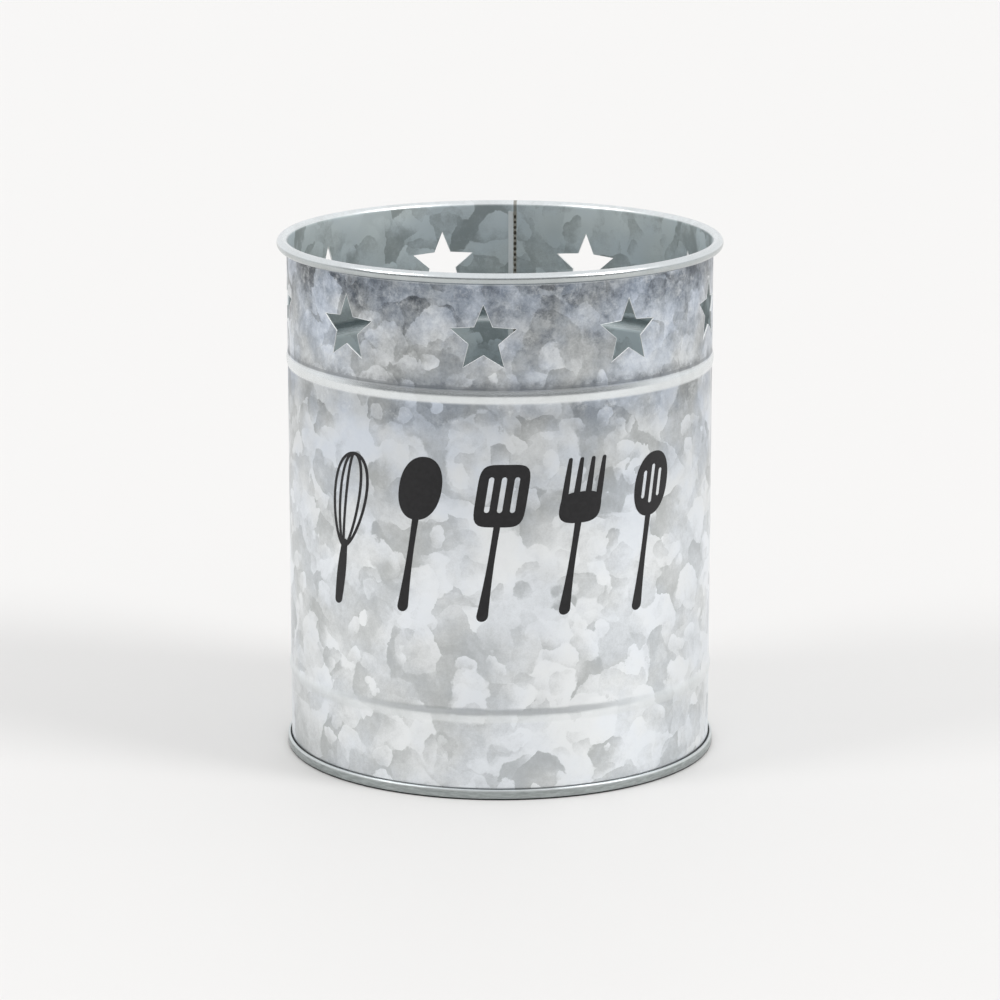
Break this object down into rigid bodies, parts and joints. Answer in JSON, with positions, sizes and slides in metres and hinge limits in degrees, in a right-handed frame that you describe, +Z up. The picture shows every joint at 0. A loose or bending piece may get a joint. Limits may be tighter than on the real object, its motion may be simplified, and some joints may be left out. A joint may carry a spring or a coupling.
{
  "type": "utensil holder",
  "caption": "Round open-topped holder of galvanised sheet steel, with a curled rim, a row of punched stars below it, rolled beads and a double-seamed base.",
  "frame": {"origin": "centre of the ring that the holder rests on, in the plane of the table", "axes": "+Z up along the axis of the round wall; -Y through the middle star of the row, the front; +Y through the welded side seam at the back"},
  "size_m": [0.1328, 0.1328, 0.1556],
  "materials": {
    "galvanised_wall": "hot-dip zinc with a large open spangle, satin",
    "galvanised_base": "hot-dip zinc, satin",
    "steel_wire": "drawn wire, dull",
    "weld_marks": "scorched weld spots",
    "black_vinyl": "matt vinyl film"
  },
  "bodies": {
    "root": {"body_wall": "galvanised_wall", "base_pan": "galvanised_base", "rim_wire": "steel_wire"}
  },
  "joints": []
}
